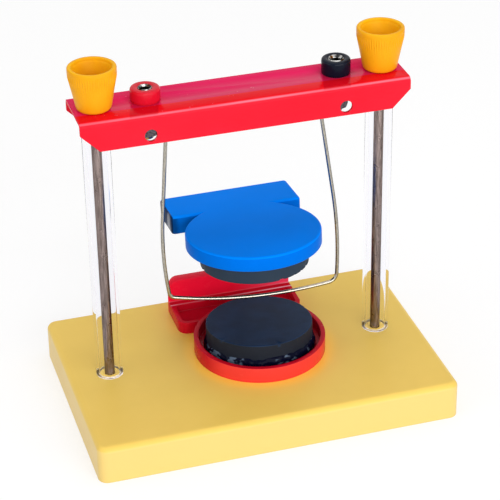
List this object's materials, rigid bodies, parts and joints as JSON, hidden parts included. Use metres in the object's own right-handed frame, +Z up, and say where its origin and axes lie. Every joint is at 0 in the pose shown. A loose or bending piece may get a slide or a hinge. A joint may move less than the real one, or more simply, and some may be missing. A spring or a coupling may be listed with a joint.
{
  "type": "motor principle demonstrator",
  "caption": "Demonstration of the force on a conductor: a wire swing hangs from two sockets on a crossbar into the gap between stacked disc magnets.",
  "frame": {"origin": "middle of the board's underside, on the surface it stands on", "axes": "+Z up, +X to the right along the crossbar towards the black socket, +Y to the back towards the yoke"},
  "size_m": [0.15, 0.1, 0.1533],
  "materials": {
    "cream_board": "gloss",
    "bright_steel": "drawn",
    "clear_acrylic": "clear",
    "red_paint": "satin",
    "amber_plastic": "gloss",
    "plain_brass": "rolled",
    "socket_red": "gloss",
    "socket_black": "gloss",
    "plated_metal": "nickel plate",
    "tinned_wire": "drawn and tinned",
    "red_plastic": "moulded gloss",
    "blue_plastic": "moulded gloss",
    "dark_ferrite": "ground",
    "black_cement": "wet gloss"
  },
  "bodies": {
    "stand": {"base_board": "cream_board", "post_rod_left": "bright_steel", "post_rod_right": "bright_steel", "clear_sleeve_left": "clear_acrylic", "clear_sleeve_right": "clear_acrylic", "crossbar": "red_paint", "red_socket_body": "socket_red", "black_socket_body": "socket_black", "red_socket_contact": "plated_metal", "black_socket_contact": "plated_metal", "socket_washer_left": "socket_black", "socket_washer_right": "socket_black", "socket_nuts": "plated_metal", "hanger_tag_left": "plain_brass", "hanger_tag_right": "plain_brass", "lower_holder": "red_plastic", "upper_holder": "blue_plastic", "lower_magnet": "dark_ferrite", "upper_magnet": "dark_ferrite", "lower_adhesive": "black_cement", "upper_adhesive": "black_cement", "magnet_yoke": "bright_steel", "yoke_foot_screws": "plated_metal", "yoke_head_screws": "plated_metal", "dish_screws": "plated_metal", "rod_washers": "plated_metal", "rod_nuts": "plated_metal"},
    "swing": {"swing_wire": "tinned_wire"},
    "left_knob": {"knob_left": "amber_plastic", "knob_insert_left": "plain_brass"},
    "right_knob": {"knob_right": "amber_plastic", "knob_insert_right": "plain_brass"}
  },
  "joints": [
    {"name": "swing_pivot", "type": "hinge", "parent": "stand", "child": "swing", "pos_m": [0, 0.0038, 0.1195], "axis": [1, 0, 0], "range_deg": [-70, 28]},
    {"name": "left_knob_turn", "type": "hinge", "parent": "stand", "child": "left_knob", "pos_m": [-0.058, 0.0024, 0.1358], "axis": [0, 0, 1], "continuous": true},
    {"name": "right_knob_turn", "type": "hinge", "parent": "stand", "child": "right_knob", "pos_m": [0.0572, 0.0024, 0.1358], "axis": [0, 0, 1], "continuous": true}
  ]
}
